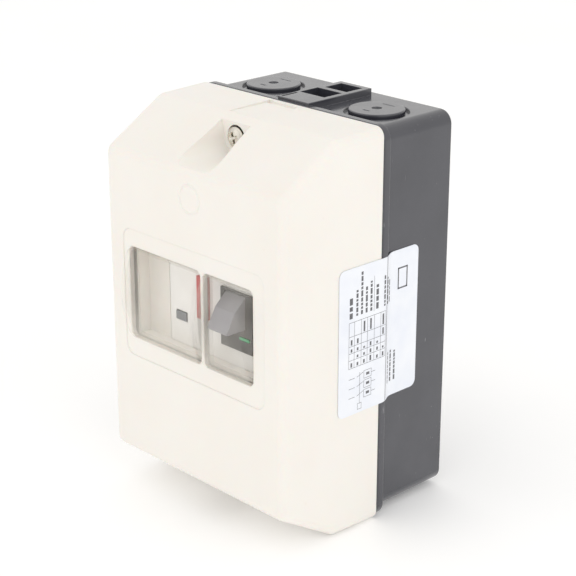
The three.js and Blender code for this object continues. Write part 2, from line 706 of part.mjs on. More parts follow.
function latchSpring() {
  const wire = 0.3;
  const section = new THREE.Shape();
  section.absarc(0, 0, wire, 0, 2 * Math.PI, false);
  const extrudePath = new Helix(1.4, 5, -39.3, -29.2, 0, -14.7);
  const options = { steps: 55, curveSegments: 3, extrudePath, bevelEnabled: false };
  addPiece("latch_spring", solid(new THREE.ExtrudeGeometry(section, options)), steel());
}

// ---- Buttons and front controls -----------------------------------------------------------

function buttonBezel() {
  const front = PANEL_Y - 1.2;
  const back = PANEL_Y - GAP;
  const bezel = cut(
    box(6, 22.2, front, back, -5.4, 16.2),
    box(START_X[0] - 0.35, START_X[1] + 0.35, front - 1, back + 1, START_Z[0] - 0.5, START_Z[1] + 0.5),
    box(15.5, 21.1, front - 1, back + 1, -1.2, 0.4),
  );
  addPiece("button_bezel", bezel, blackPlastic());
  addPiece("ready_flag", box(15.8, 20.8, front - 0.2, back - 0.1, -0.9, 0.1), material(0x2fae68, 0.4));
}

// The START button is a deep wedge whose lower edge stands out furthest.
function startButton() {
  const [low, high] = START_Z;
  const face = [[-83.7, low], [-84, low + 0.4], [-80.2, 10.5], [-75.2, high]];
  const wedge = outline([[-71.2, low], ...face, [-71.2, high]]);
  const body = join(
    prismX(wedge, START_X[0], START_X[1]),
    box(START_X[0], START_X[1], -72, -70.8, low - 1.2, high + 1.2),
    box(8.4, 9.8, -71, -66.9, 6, 11),
  );
  addPiece("start_button", body, blackPlastic());
}

function stopButton() {
  const [low, high] = STOP_Z;
  const body = join(
    box(STOP_X[0], STOP_X[1], -76.3, -68.4, low, high),
    box(STOP_X[0], STOP_X[1], -69.6, -68.4, low - 1.2, high + 1.2),
    box(-2.5, -1.5, -68.6, -63.7, 6, 11),
  );
  addPiece("stop_button", body, material(0xc8202c, 0.35));
}

function testButton() {
  const body = join(
    box(TEST_X[0], TEST_X[1], -75, -71.5, TEST_Z[0], TEST_Z[1]),
    box(TEST_X[0] - 0.9, TEST_X[1] + 0.9, -72, -71, TEST_Z[0] - 0.9, TEST_Z[1] + 0.9),
  );
  addPiece("test_button", body, material(0x8f949c, 0.5));
}

function settingDial() {
  const head = [[0, -76.2], [3.2, -76.2], [3.6, -75.8], [3.6, -74.8]];
  const profile = [...head, [1.7, -74.8], [1.7, -71.9], [0, -71.9]];
  const dial = turnedY(DIAL_X, DIAL_Z, profile, 20);
  const slot = box(DIAL_X - 0.5, DIAL_X + 0.5, -77, -75.4, DIAL_Z - 2.6, DIAL_Z + 2.6);
  addPiece("setting_dial", cut(dial, slot), material(0xd8d5cc, 0.5));
}

// ---- Latch mechanism, carrier and trip bar ------------------------------------------------

function mechanismFrame() {
  const innerX = BREAKER_HALF_X - BREAKER_WALL - GAP;
  const frame = join(
    box(-innerX, innerX, -59, -58, -3, 19.6),
    box(-7, 13, -66.5, -58, -3, -2),
    box(-7, 13, -66.5, -58, 18.6, 19.6),
  );
  addPiece("mechanism_frame", cut(frame, rodZ(LEVER_X, LEVER_Y, 1.3, -5, 22, 12)), steel());
  addPiece("lever_pin", rodZ(LEVER_X, LEVER_Y, 1, -3.4, 20, 12), steel());
}

function latchLever() {
  const lever = join(
    rodZ(0, 0, 2.2, 4, 13, 16),
    box(0, 7.4, -0.8, 0.8, 4, 13),
    box(-5.2, 0, -0.8, 0.8, 4, 13),
  );
  const bored = cut(lever, rodZ(0, 0, 1.3, 3, 14, 12));
  const turned = bored.rotate([0, 0, THREE.MathUtils.radToDeg(LEVER_REST_ANGLE)]);
  addPiece("latch_lever", turned.translate([LEVER_X, LEVER_Y, 0]), steel());
}

function contactCarrier() {
  let carrier = box(-19, 19, -57, -54, 4.5, 9.5);
  for (const x of POLE_XS) carrier = join(carrier, box(x - 1.6, x + 1.6, -54.2, -37.5, 5, 9));
  addPiece("contact_carrier", carrier, material(0x6b3b2a, 0.6));
}

function tripBar() {
  let bar = box(-18.5, 17.8, -53.2, -51.2, 0, 3);
  for (const x of POLE_XS) bar = join(bar, box(x + 2.9, x + 4.1, -51.4, -47, 0, 2.2));
  addPiece("trip_bar", bar, material(0xd9c9a0, 0.6));
}

// ---- The three poles ----------------------------------------------------------------------

function pole(number, x) {
  const lineBar = outline([
    [-48.5, 41.5], [-47, 41.5], [-47, 31.5], [-30, 31.5], [-30, 8.5], [-32.5, 8.5],
    [-32.5, 13], [-31.5, 13], [-31.5, 30], [-48.5, 30],
  ]);
  const loadBar = outline([
    [-48.5, -41.5], [-47, -41.5], [-47, -29.9], [-36, -29.9], [-36, -28.4], [-48.5, -28.4],
  ]);
  const coilStrap = outline([
    [-34.6, -18], [-33.3, -18], [-33.3, -8], [-30, -8], [-30, 1.2], [-32.5, 1.2],
    [-32.5, -3], [-31.5, -3], [-31.5, -6.5], [-34.6, -6.5],
  ]);
  const bridge = outline([
    [-37.2, -3.5], [-35.7, -3.5], [-35.7, 1.2], [-36.2, 1.2],
    [-36.2, 8.8], [-35.7, 8.8], [-35.7, 13], [-37.2, 13],
  ]);
  const coilRing = [[2.6, -46], [5.2, -46], [5.2, -34.3], [2.6, -34.3], [2.6, -46]];
  const screwHead = [[2.9, -54.2], [2.9, -55.9], [2.3, -56.5], [0, -56.5]];
  const screwProfile = [[0, -44.5], [1.6, -44.5], [1.6, -54.2], ...screwHead];
  const lineHole = rodY(x, TERMINAL_Z, 2, -50, -46, 12);
  const loadHole = rodY(x, -TERMINAL_Z, 2, -50, -46, 12);
  addPiece(`line_terminal_${number}`, cut(prismX(lineBar, x - 3.7, x + 3.7), lineHole), copper());
  addPiece(`load_terminal_${number}`, cut(prismX(loadBar, x - 3.7, x + 3.7), loadHole), copper());
  addPiece(`line_screw_${number}`, turnedY(x, TERMINAL_Z, screwProfile, 14), steel());
  addPiece(`load_screw_${number}`, turnedY(x, -TERMINAL_Z, screwProfile, 14), steel());
  const coil = join(turnedY(x, -13.3, coilRing), prismX(coilStrap, x - 3, x + 3));
  addPiece(`magnetic_coil_${number}`, coil, copper());
  addPiece(`bimetal_strip_${number}`, box(x - 2.2, x + 2.2, -47.6, -46.8, -27.6, 2.4), steel());
  addPiece(`contact_bridge_${number}`, prismX(bridge, x - 2.8, x + 2.8), copper());
}

// ---- Assembly -----------------------------------------------------------------------------

baseShell();
coverGasket();
coverShell();
coverScrew("cover_screw_top", 1);
coverScrew("cover_screw_bottom", -1);
screwWasher("screw_washer_top", 1);
screwWasher("screw_washer_bottom", -1);
clearMembrane();
membraneFrame();
frameScrews();
sideLabel();
mountingRail();
railScrew("rail_screw_left", -RAIL_SCREW_X);
railScrew("rail_screw_right", RAIL_SCREW_X);
earthTerminal();
breakerRearCase();
breakerFrontCase();
railLatch();
latchSpring();
buttonBezel();
startButton();
stopButton();
testButton();
settingDial();
mechanismFrame();
latchLever();
contactCarrier();
tripBar();
POLE_XS.forEach((x, i) => pole(i + 1, x));

export default root;
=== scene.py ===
"""Motor protection breaker in a surface-mounting enclosure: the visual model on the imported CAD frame.

Shapes are drawn in millimetres in the frame's axes (X right, Y back to the wall, Z up) and turned
into metres when a piece is finished.
"""
import json
import math
import random

import bmesh
import bpy
from mathutils import Matrix, Vector


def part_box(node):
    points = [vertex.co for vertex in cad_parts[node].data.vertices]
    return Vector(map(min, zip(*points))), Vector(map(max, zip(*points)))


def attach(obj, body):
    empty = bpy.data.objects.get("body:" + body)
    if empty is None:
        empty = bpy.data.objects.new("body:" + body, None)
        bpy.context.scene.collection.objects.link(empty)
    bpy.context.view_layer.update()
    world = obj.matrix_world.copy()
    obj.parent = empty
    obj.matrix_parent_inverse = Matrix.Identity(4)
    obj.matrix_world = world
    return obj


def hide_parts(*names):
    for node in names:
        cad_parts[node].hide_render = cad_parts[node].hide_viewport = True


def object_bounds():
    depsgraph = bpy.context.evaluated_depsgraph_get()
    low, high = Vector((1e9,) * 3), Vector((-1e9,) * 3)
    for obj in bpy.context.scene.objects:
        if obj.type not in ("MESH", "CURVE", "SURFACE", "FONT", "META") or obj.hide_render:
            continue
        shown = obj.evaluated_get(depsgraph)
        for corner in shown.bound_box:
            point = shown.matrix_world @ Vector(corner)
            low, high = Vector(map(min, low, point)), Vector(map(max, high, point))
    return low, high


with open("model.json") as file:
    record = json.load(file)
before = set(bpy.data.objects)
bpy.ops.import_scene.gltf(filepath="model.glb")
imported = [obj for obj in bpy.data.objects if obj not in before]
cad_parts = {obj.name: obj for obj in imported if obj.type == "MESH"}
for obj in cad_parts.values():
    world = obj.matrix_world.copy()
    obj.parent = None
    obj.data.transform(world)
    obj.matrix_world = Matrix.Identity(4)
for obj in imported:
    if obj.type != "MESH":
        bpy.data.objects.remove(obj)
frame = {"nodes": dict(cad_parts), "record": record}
CAD_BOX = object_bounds()
NODES = frame["nodes"]
ROOT = "enclosure"
MM = 0.001
X, Y, Z = Vector((1, 0, 0)), Vector((0, 1, 0)), Vector((0, 0, 1))


def box_mm(node):
    """The lowest and highest corner of a CAD node, in millimetres."""
    low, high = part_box(node)
    return low / MM, high / MM


# ---- Driving sizes, from the frame where it holds them ------------------------------------------

COVER_LOW, COVER_HIGH = box_mm("cover_shell")
BASE_LOW, BASE_HIGH = box_mm("base_shell")
MEMBRANE_LOW, _ = box_mm("clear_membrane")
LABEL_LOW, LABEL_HIGH = box_mm("side_label")

HALF_X = COVER_HIGH.x
HALF_Z = COVER_HIGH.z
FRONT_Y = COVER_LOW.y
SEAM_Y = COVER_HIGH.y
RIM_Y = BASE_LOW.y

# cover
COVER_WALL = 2.3
COVER_EDGE_R = 3.5
COVER_TAPER = 0.5  # each side comes in this much from the seam to the front face
SLOPE_Y = FRONT_Y + 25.5
SLOPE_HALF_Z = HALF_Z - 0.6
FACE_HALF_Z = HALF_Z - 15.9
PANEL_HALF_X = 36.8  # the shallow panel round the windows
PANEL_LOW_Z = -19
PANEL_HIGH_Z = 29.5
PANEL_CORNER_R = 4
LAMP_RING_Z = 48
FRAME_SCREWS = [(x, z) for x in (-38.8, 38.8) for z in (-8, 20)]

# windows and membrane
WINDOWS = ((-34, 4.4), (6, 31))
WINDOW_LOW_Z = -11.8
WINDOW_HIGH_Z = 23
WINDOW_R = 2.2
MEMBRANE_WALL = 0.9
MEMBRANE_HALF_X = 35.6
MEMBRANE_MARGIN = 2.4  # the flange reaches this far past the windows
PANE_GAP = 0.35
PANE_FOOT_Y = FRONT_Y - 0.4
PANE_PEAK_Y = MEMBRANE_LOW.y

# cover screws
SCREW_Z = 65.5
SCOOP_BACK_Y = -62
SCREW_POCKET_Y = -60.4
SCOOP_BLOCK_BACK_Y = -58.9  # the cover is solid from here to the front round each scoop
CHANNEL_HALF_X = 7.5  # shallow channel from each scoop to the seam

# base
BASE_HALF_X = 44
BASE_HALF_Z = 72
BASE_WALL = 2.2
BASE_CORNER_R = 5
BACK_WALL = 2.6
LIP_BACK_Y = -34
LIP_CORNER_R = 5.5
GASKET_GROOVE_INSETS = (1.2, 2.6)
RAIL_SCREW_X = 26.5
FIXING_X = 33  # thin round skins in the back wall for the fixing screws
FIXING_Z = 58
FIXING_R = 2.3
FIXING_DEPTH = 1
PLATFORM_LEFT_X = -6.8  # the raised platform between the top knock-outs
PLATFORM_RIGHT_X = 8.8
PLATFORM_BACK_Y = -3.8
PLATFORM_FRONT_Y = -36

# cable knock-outs
KNOCKOUT_X = 26.1
KNOCKOUT_Y = -19.6
KNOCKOUT_R = 9.8
KNOCKOUT_GROOVE_R = 11.6
KNOCKOUT_RISE = 1.2

LABEL_THICK = 0.2
LABEL_GAP = 0.12  # the label's inner face stands off the shells by this much
INK_LIFT = 0.02  # the print lies this far above the label


# ---- Mesh helpers -------------------------------------------------------------------------------


def rounded(points, radii, steps=8):
    """A closed outline with each corner turned into an arc of its radius."""
    corners = [Vector(point) for point in points]
    outline = []
    for i, (corner, radius) in enumerate(zip(corners, radii)):
        if radius <= 0:
            outline.append(corner)
            continue
        before = (corners[i - 1] - corner).normalized()
        after = (corners[(i + 1) % len(corners)] - corner).normalized()
        half = before.angle(after) / 2
        centre = corner + (before + after).normalized() * (radius / math.sin(half))
        start = corner + before * (radius / math.tan(half)) - centre
        end = corner + after * (radius / math.tan(half)) - centre
        sweep = start.angle(end)
        for k in range(steps + 1):
            t = k / steps
            arm = start * math.sin((1 - t) * sweep) + end * math.sin(t * sweep)
            outline.append(centre + arm / math.sin(sweep))
    return outline


def rounded_rectangle(u0, u1, v0, v1, radius, steps=8):
    return rounded([(u0, v0), (u1, v0), (u1, v1), (u0, v1)], [radius] * 4, steps)


def solid(rings, name="tool"):
    """A closed body lofted through rings of 3D points, its two end rings filled in."""
    bm = bmesh.new()
    rows = [[bm.verts.new(point) for point in ring] for ring in rings]
    count = len(rows[0])
    for near, far in zip(rows, rows[1:]):
        for i in range(count):
            j = (i + 1) % count
            bm.faces.new((near[i], near[j], far[j], far[i]))
    bm.faces.new(rows[0][::-1])
    bm.faces.new(rows[-1])
    bmesh.ops.recalc_face_normals(bm, faces=bm.faces)
    mesh = bpy.data.meshes.new(name)
    bm.to_mesh(mesh)
    bm.free()
    piece = bpy.data.objects.new(name, mesh)
    bpy.context.scene.collection.objects.link(piece)
    return piece


def prism_y(outline, y0, y1):
    return solid([[(u, y, v) for u, v in outline] for y in (y0, y1)])


def prism_x(outline, x0, x1):
    return solid([[(x, u, v) for u, v in outline] for x in (x0, x1)])


def block(x0, x1, y0, y1, z0, z1):
    return prism_y([(x0, z0), (x1, z0), (x1, z1), (x0, z1)], y0, y1)


def turned(centre, axis, profile, sides=48):
    """A turned body: the profile's [radius, height] pairs go round an axis through centre."""
    across = X if abs(axis.x) < 0.5 else Y
    other = axis.cross(across)
    rings = []
    for radius, height in profile:
        arms = [2 * math.pi * i / sides for i in range(sides)]
        middle = Vector(centre) + axis * height
        rings.append([middle + (across * math.cos(a) + other * math.sin(a)) * radius for a in arms])
    return solid(rings)


def rod_y(x, z, radius, y0, y1, sides=32):
    return turned((x, 0, z), Y, [(radius, y0), (radius, y1)], sides)


def rod_z(x, y, radius, z0, z1, sides=32):
    return turned((x, y, 0), Z, [(radius, z0), (radius, z1)], sides)


def combine(body, operation, *tools):
    """Joins, cuts or intersects a body with tools, one after another, and uses the tools up."""
    for tool in tools:
        modifier = body.modifiers.new("combine", "BOOLEAN")
        modifier.operation = operation
        modifier.solver = "EXACT"
        modifier.object = tool
        apply_modifiers(body)
        bpy.data.objects.remove(tool)
    return body


def apply_modifiers(piece):
    depsgraph = bpy.context.evaluated_depsgraph_get()
    mesh = bpy.data.meshes.new_from_object(piece.evaluated_get(depsgraph))
    piece.modifiers.clear()
    piece.data = mesh


def bevelled(piece, width, segments=3, angle=30):
    """Rounds a body's sharp edges before it is joined to others."""
    modifier = piece.modifiers.new("round", "BEVEL")
    modifier.width = width
    modifier.segments = segments
    modifier.limit_method = "ANGLE"
    modifier.angle_limit = math.radians(angle)
    apply_modifiers(piece)
    return piece


def smooth(piece, angle=32):
    """Smooth shading with crisp edges where faces meet at more than the angle."""
    piece.data.shade_smooth()
    piece.data.set_sharp_from_angle(angle=math.radians(angle))
    modifier = piece.modifiers.new("flat faces", "WEIGHTED_NORMAL")
    modifier.keep_sharp = True


def finished(piece, name, look, nodes, body=ROOT, angle=32):
    """Turns a body drawn in millimetres into a finished piece of the visual model."""
    mesh = piece.data
    bm = bmesh.new()
    bm.from_mesh(mesh)
    bmesh.ops.remove_doubles(bm, verts=bm.verts, dist=0.0005)
    bmesh.ops.dissolve_degenerate(bm, edges=bm.edges, dist=0.0005)
    bm.to_mesh(mesh)
    bm.free()
    mesh.transform(Matrix.Scale(MM, 4))
    piece.name = mesh.name = name
    mesh.materials.clear()
    mesh.materials.append(look)
    smooth(piece, angle)
    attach(piece, body)
    if nodes:
        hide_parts(*nodes)
    return piece


# ---- Materials ----------------------------------------------------------------------------------


class Graph:
    """A material's node tree with short ways to add what these materials repeat."""

    def __init__(self, name):
        self.material = bpy.data.materials.new(name)
        self.material.use_nodes = True
        self.tree = self.material.node_tree
        self.shader = self.tree.nodes["Principled BSDF"]
        self.where = self.add("ShaderNodeTexCoord").outputs["Object"]

    def add(self, kind, **values):
        node = self.tree.nodes.new(kind)
        for key, value in values.items():
            setattr(node, key, value)
        return node

    def link(self, source, target):
        self.tree.links.new(source, target)

    def noise(self, size_mm, detail=3.0, stretch=(1, 1, 1)):
        """Noise between 0 and 1 whose features are about size_mm across."""
        mapping = self.add("ShaderNodeMapping")
        mapping.inputs["Scale"].default_value = stretch
        self.link(self.where, mapping.inputs["Vector"])
        node = self.add("ShaderNodeTexNoise")
        node.inputs["Scale"].default_value = 1 / (size_mm * MM)
        node.inputs["Detail"].default_value = detail
        self.link(mapping.outputs[0], node.inputs["Vector"])
        return node.outputs["Fac"]

    def remap(self, value, low, high, start=0.3, stop=0.7):
        node = self.add("ShaderNodeMapRange")
        self.link(value, node.inputs["Value"])
        for key, number in (("From Min", start), ("From Max", stop), ("To Min", low), ("To Max", high)):
            node.inputs[key].default_value = number
        return node.outputs["Result"]

    def mix(self, share, first, second):
        """Mixes two colours, each an RGB tuple or an output socket."""
        node = self.add("ShaderNodeMix", data_type="RGBA")
        self.link(share, node.inputs["Factor"])
        for socket, colour in ((node.inputs[6], first), (node.inputs[7], second)):
            if isinstance(colour, tuple):
                socket.default_value = (*colour, 1)
            else:
                self.link(colour, socket)
        return node.outputs[2]

    def math(self, operation, first, second):
        node = self.add("ShaderNodeMath", operation=operation)
        for socket, value in zip(node.inputs, (first, second)):
            if isinstance(value, (int, float)):
                socket.default_value = value
            else:
                self.link(value, socket)
        return node.outputs[0]

    def edge_mask(self, radius_mm):
        """1 on convex or concave edges and 0 on flat stretches."""
        bevel = self.add("ShaderNodeBevel", samples=4)
        bevel.inputs["Radius"].default_value = radius_mm * MM
        normal = self.add("ShaderNodeNewGeometry").outputs["Normal"]
        dot = self.add("ShaderNodeVectorMath", operation="DOT_PRODUCT")
        self.link(bevel.outputs[0], dot.inputs[0])
        self.link(normal, dot.inputs[1])
        return self.remap(dot.outputs["Value"], 1, 0, 0.85, 1.0)

    def bump(self, height, depth_mm, round_edges_mm=0.0):
        node = self.add("ShaderNodeBump")
        node.inputs["Strength"].default_value = 1
        node.inputs["Distance"].default_value = depth_mm * MM
        self.link(height, node.inputs["Height"])
        if round_edges_mm:
            bevel = self.add("ShaderNodeBevel", samples=4)
            bevel.inputs["Radius"].default_value = round_edges_mm * MM
            self.link(bevel.outputs[0], node.inputs["Normal"])
        return node.outputs[0]

    def set(self, **values):
        names = {"colour": "Base Color", "rough": "Roughness", "metal": "Metallic", "ior": "IOR",
                 "coat": "Coat Weight", "coat_rough": "Coat Roughness", "normal": "Normal",
                 "glow": "Subsurface Weight", "glow_reach": "Subsurface Scale",
                 "specular": "Specular IOR Level", "alpha": "Alpha"}
        for key, value in values.items():
            socket = self.shader.inputs[names[key]]
            if isinstance(value, bpy.types.NodeSocket):
                self.link(value, socket)
            else:
                socket.default_value = (*value, 1) if isinstance(value, tuple) else value


def plastic(name, colour, rough, grain_mm=0.35, depth_mm=0.006, edge=0.0):
    """Moulded plastic: fine spark-eroded grain, cloudy colour and gloss, paler rubbed edges."""
    g = Graph(name)
    mottle = 0.03
    dark = tuple(c * (1 - mottle) for c in colour)
    light = tuple(min(c * (1 + mottle), 1) for c in colour)
    cloud = g.noise(14, 4)
    shade = g.mix(g.remap(cloud, 0, 1), dark, light)
    if edge:
        paler_edges = g.math("MULTIPLY", g.edge_mask(0.5), g.remap(g.noise(1.6, 5), 0, edge))
        shade = g.mix(paler_edges, shade, tuple(min(c + 0.25, 1) for c in colour))
    gloss = g.remap(g.noise(5, 4), rough * 0.85, rough * 1.15)
    g.set(colour=shade, rough=gloss, normal=g.bump(g.noise(grain_mm, 2), depth_mm, 0.25))
    return g.material


def metal(name, colour, rough, stretch=(1, 1, 1), size_mm=0.3, depth_mm=0.004):
    """Drawn, rolled or plated metal: directional lines, cloudy plating, brighter rubbed edges."""
    g = Graph(name)
    dull = tuple(c * 0.78 for c in colour)
    lines = g.noise(size_mm, 3, stretch)
    shade = g.mix(g.remap(g.noise(2.5, 4), 0, 1), dull, colour)
    shade = g.mix(g.math("MULTIPLY", g.edge_mask(0.25), 0.5), shade, tuple(min(c * 1.25, 1) for c in colour))
    gloss = g.remap(lines, rough * 0.7, rough * 1.4)
    g.set(colour=shade, rough=gloss, metal=1.0, normal=g.bump(lines, depth_mm, 0.15))
    return g.material


def base_black():
    """Black polished plastic with handling marks: pale specks and hair scratches, and paler edges that are
    partly rubbed wear and partly a painted highlight.
    """
    g = Graph("base_black")
    cloud = g.remap(g.noise(22, 4), 0, 1)
    shade = g.mix(cloud, (0.036, 0.037, 0.047), (0.050, 0.051, 0.063))
    specks = g.remap(g.noise(1.1, 2), 0, 0.5, 0.74, 0.80)
    scratches = g.remap(g.noise(1.0, 2, (1.0, 0.9, 0.12)), 0, 0.35, 0.735, 0.78)
    marks = g.math("MAXIMUM", specks, scratches)
    shade = g.mix(marks, shade, (0.38, 0.38, 0.40))
    # paler edges: partly rubbed wear, partly a painted edge highlight
    paler_edges = g.math("MULTIPLY", g.edge_mask(0.4), g.remap(g.noise(1.5, 5), 0.1, 0.45))
    shade = g.mix(paler_edges, shade, (0.20, 0.20, 0.22))
    gloss = g.remap(g.noise(6, 5), 0.18, 0.27)
    g.set(colour=shade, rough=gloss, normal=g.bump(g.noise(0.5, 3), 0.002, 0.3))
    g.set(specular=0.62, coat=0.5, coat_rough=0.12)
    return g.material


def cover_cream():
    """Warm cream plastic with a very fine grain and a little light under the surface."""
    g = Graph("cover_cream")
    cloud = g.remap(g.noise(30, 4), 0, 1)
    shade = g.mix(cloud, (0.880, 0.843, 0.785), (0.895, 0.865, 0.815))
    stain = g.remap(g.noise(2.4, 3), 0, 0.16, 0.72, 0.80)
    shade = g.mix(stain, shade, (0.74, 0.66, 0.54))
    gloss = g.remap(g.noise(4, 4), 0.34, 0.44)
    g.set(colour=shade, rough=gloss, normal=g.bump(g.noise(0.28, 2), 0.004, 0.35))
    g.set(glow=0.12, glow_reach=0.0012)
    return g.material


def clear_plastic(name, clearest, densest, tint):
    """Clear soft plastic, milky where it is seen edge-on, with faint waves and dust."""
    g = Graph(name)
    facing = g.add("ShaderNodeLayerWeight")
    facing.inputs["Blend"].default_value = 0.45
    haze = g.remap(facing.outputs["Facing"], clearest, densest, 0.35, 1.0)
    dust = g.remap(g.noise(0.7, 4), 0, 0.05, 0.64, 0.80)
    cloud = g.remap(g.noise(9, 3), -0.02, 0.03)
    alpha = g.math("ADD", g.math("ADD", haze, dust), cloud)
    shade = g.mix(g.remap(g.noise(12, 3), 0, 1), tint, tuple(c * 0.95 for c in tint))
    wave = g.bump(g.noise(6, 2), 0.02)
    g.set(colour=shade, rough=0.14, ior=1.46, alpha=alpha, normal=wave)
    return g.material


def label_film():
    g = Graph("label_film")
    shade = g.mix(g.remap(g.noise(10, 4), 0, 1), (0.83, 0.86, 0.93), (0.90, 0.92, 0.96))
    fibres = g.noise(0.5, 3, (1, 1, 0.3))
    g.set(colour=shade, rough=g.remap(g.noise(3, 3), 0.35, 0.5), normal=g.bump(fibres, 0.006))
    return g.material


def label_ink():
    """Thermal print: dark grey, broken up a little where the ribbon didn't take."""
    g = Graph("label_ink")
    shade = g.mix(g.remap(g.noise(0.25, 3), 0, 1, 0.45, 0.75), (0.10, 0.10, 0.11), (0.30, 0.30, 0.32))
    g.set(colour=shade, rough=g.remap(g.noise(1, 3), 0.5, 0.7), normal=g.bump(g.noise(0.2, 2), 0.003))
    return g.material


def studio_floor():
    g = Graph("studio_floor")
    shade = g.mix(g.remap(g.noise(120, 3), 0, 1), (0.93, 0.93, 0.93), (0.96, 0.96, 0.96))
    g.set(colour=shade, rough=0.6, normal=g.bump(g.noise(1, 2), 0.01))
    g.shader.inputs["Emission Color"].default_value = (1, 1, 1, 1)
    g.shader.inputs["Emission Strength"].default_value = 0.12
    return g.material


LOOKS = {
    "cover_cream": cover_cream(),
    "base_black": base_black(),
    "seal_rubber": plastic("seal_rubber", (0.035, 0.035, 0.034), 0.8, 0.4, 0.02),
    "clear_membrane": clear_plastic("clear_membrane", 0.08, 0.48, (0.97, 0.93, 0.84)),
    "label_film": label_film(),
    "screw_steel": metal("screw_steel", (0.78, 0.74, 0.66), 0.24),
    "zinc_steel": metal("zinc_steel", (0.62, 0.63, 0.63), 0.34, (0.15, 1, 1)),
    "spring_steel": metal("spring_steel", (0.58, 0.57, 0.55), 0.22),
    "earth_brass": metal("earth_brass", (0.80, 0.61, 0.27), 0.28, (1, 0.15, 1)),
    "copper": metal("copper", (0.80, 0.43, 0.26), 0.30, (1, 1, 0.12)),
    "bimetal": metal("bimetal", (0.60, 0.57, 0.52), 0.36, (1, 1, 0.1)),
    "case_grey": plastic("case_grey", (0.060, 0.064, 0.072), 0.5, edge=0.3),
    "case_white": plastic("case_white", (0.95, 0.94, 0.915), 0.48),
    "button_black": plastic("button_black", (0.030, 0.030, 0.036), 0.32, edge=0.3),
    # slate is painted light: the black START button is drawn paler to stand in for the light on it
    "button_slate_painted_light": plastic("button_slate_painted_light", (0.30, 0.295, 0.33), 0.34, edge=0.2),
    "button_red": plastic("button_red", (0.60, 0.030, 0.045), 0.32, edge=0.2),
    "flag_green": plastic("flag_green", (0.03, 0.42, 0.17), 0.35),
    "test_grey": plastic("test_grey", (0.17, 0.18, 0.20), 0.5, edge=0.2),
    "dial_ivory": plastic("dial_ivory", (0.62, 0.58, 0.48), 0.45, edge=0.2),
    "carrier_brown": plastic("carrier_brown", (0.13, 0.045, 0.026), 0.55, edge=0.2),
    "trip_ivory": plastic("trip_ivory", (0.62, 0.53, 0.34), 0.5, edge=0.2),
}


# ---- Cover --------------------------------------------------------------------------------------


def cover_outline(inset, steps=6):
    """The cover's side outline in Y and Z, moved in by inset, with its corners rounded."""
    run = SLOPE_Y - FRONT_Y
    rise = SLOPE_HALF_Z - FACE_HALF_Z
    shift = inset * math.hypot(run, rise) / run
    back_y = SEAM_Y + 6
    front_y = FRONT_Y + inset
    face_z = FACE_HALF_Z - shift + inset * rise / run
    top_z = SLOPE_HALF_Z - inset
    slope_y = SLOPE_Y + (top_z - (SLOPE_HALF_Z - shift)) * run / rise
    seam_z = HALF_Z - inset
    upper = [(back_y, seam_z), (SEAM_Y, seam_z), (slope_y, top_z), (front_y, face_z)]
    lower = [(y, -z) for y, z in reversed(upper)]
    radii = [0, 0, 4.0, max(4.5 - inset, 1.0)]
    return rounded(upper + lower, radii + radii[::-1], steps)


def cover_outer():
    """The outer form: the side outline run across, its long edges rounded, sides leaning in."""
    levels = [math.pi / 2 * k / 8 for k in range(9)]
    half = [(HALF_X - COVER_EDGE_R * (1 - math.sin(a)), COVER_EDGE_R * (1 - math.cos(a))) for a in levels]
    rings = [(-x, inset) for x, inset in reversed(half)] + half
    form = []
    for x, inset in rings:
        ring = []
        for y, z in cover_outline(inset):
            lean = COVER_TAPER * (SEAM_Y - y) / (SEAM_Y - FRONT_Y) / HALF_X
            ring.append((x * (1 - lean), y, z))
        form.append(ring)
    return solid(form, "cover")


def scoop_section(half_x, centre_z, drop, open_half_x, bend, y, side, steps=24):
    """One section of the screw scoop: a U, round at bend 1 and squarer below it."""
    top_z = 78
    points = [(-open_half_x, y, side * top_z)]
    for i in range(steps + 1):
        angle = math.pi + math.pi * i / steps
        x = math.copysign(abs(math.cos(angle)) ** bend, math.cos(angle)) * half_x
        z = centre_z - abs(math.sin(angle)) ** bend * drop
        points.append((x, y, side * z))
    points.append((open_half_x, y, side * top_z))
    return points


def screw_scoop(side):
    """The tapered scoop to a cover screw: a half circle at the screw, squarer at the front."""
    rings = []
    sections = 10
    for k in range(sections + 1):
        t = k / sections
        y = SCOOP_BACK_Y + (FRONT_Y - 1 - SCOOP_BACK_Y) * t
        back = Vector((6.3, SCREW_Z, 6.3, 8.6)) * (1 - t)
        front = Vector((10.6, 66, 7.7, 11.1)) * t
        rings.append(scoop_section(*(back + front), 1 - 0.7 * t, y, side))
    return solid(rings)


def grown_rectangle(x0, x1, z0, z1, radius, flare, y):
    """One ring of a cutter: a rounded rectangle in X and Z, grown by flare on every side."""
    outline = rounded_rectangle(x0 - flare, x1 + flare, z0 - flare, z1 + flare, radius + flare)
    return [(u, y, v) for u, v in outline]


def window_cutter(x0, x1):
    """A window opening whose front edge flares out in a small round."""
    flares = ((COVER_WALL + 1, 0), (0.75, 0), (0.55, 0.06), (0.42, 0.2), (0.35, 0.4), (-1, 0.5))
    sides = (x0, x1, WINDOW_LOW_Z, WINDOW_HIGH_Z, WINDOW_R)
    return solid([grown_rectangle(*sides, flare, FRONT_Y + depth) for depth, flare in flares])


def panel_cutter():
    """The shallow panel round the windows, its step eased."""
    flares = ((0.35, 0), (0.12, 0.08), (0, 0.35), (-1, 0.6))
    sides = (-PANEL_HALF_X, PANEL_HALF_X, PANEL_LOW_Z, PANEL_HIGH_Z, PANEL_CORNER_R)
    return solid([grown_rectangle(*sides, flare, FRONT_Y + depth) for depth, flare in flares])


def lamp_ring_cutter():
    """The shallow ring groove that marks the pilot-lamp knock-out, its sides sloping."""
    centre, floor = (0, 0, LAMP_RING_Z), FRONT_Y + 0.24
    ring = turned(centre, Y, [(5.2, floor), (5.65, FRONT_Y), (5.75, FRONT_Y - 1)], 64)
    core = [(4.9, floor + 1), (4.9, floor), (4.45, FRONT_Y), (4.35, FRONT_Y - 2)]
    return combine(ring, "DIFFERENCE", turned(centre, Y, core, 64))


